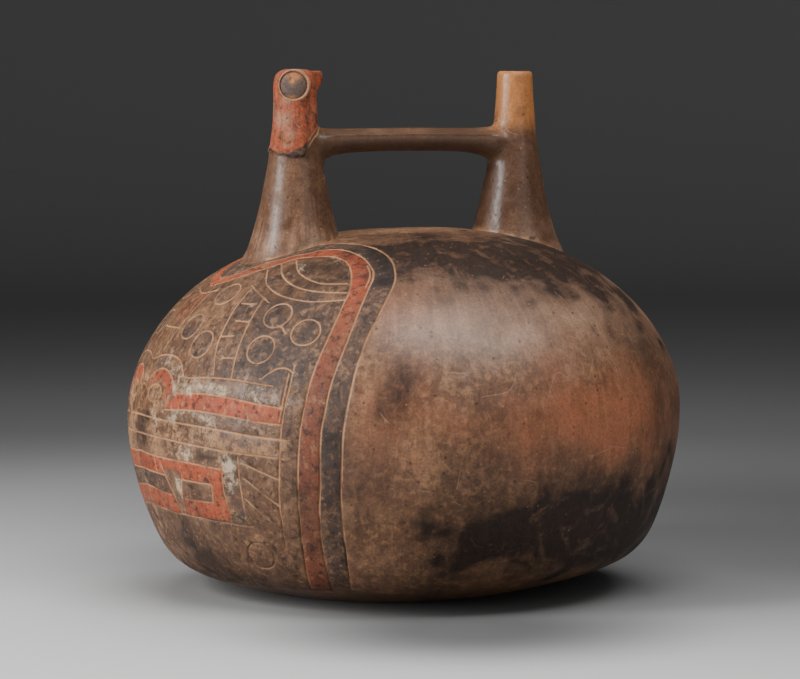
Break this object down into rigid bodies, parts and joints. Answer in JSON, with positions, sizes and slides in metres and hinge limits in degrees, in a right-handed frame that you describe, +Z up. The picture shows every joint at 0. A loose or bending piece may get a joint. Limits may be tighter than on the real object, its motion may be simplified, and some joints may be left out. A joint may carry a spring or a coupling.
{
  "type": "double spout vessel",
  "caption": "Hollow fired-clay bottle: a rounded body with an incised mask panel, one open spout and one blind spout with a bird head, joined by a bridge handle.",
  "frame": {"origin": "on the floor, under the middle of the body's widest ring", "axes": "+Z up, +X along the bridge from the blind spout to the open spout; the incised panel faces -X"},
  "size_m": [0.19, 0.19, 0.1771],
  "materials": {
    "fired_clay": "burnished brown fired clay with resin paint in red and dark grey on an incised panel"
  },
  "bodies": {
    "root": {"vessel": "fired_clay"}
  },
  "joints": []
}
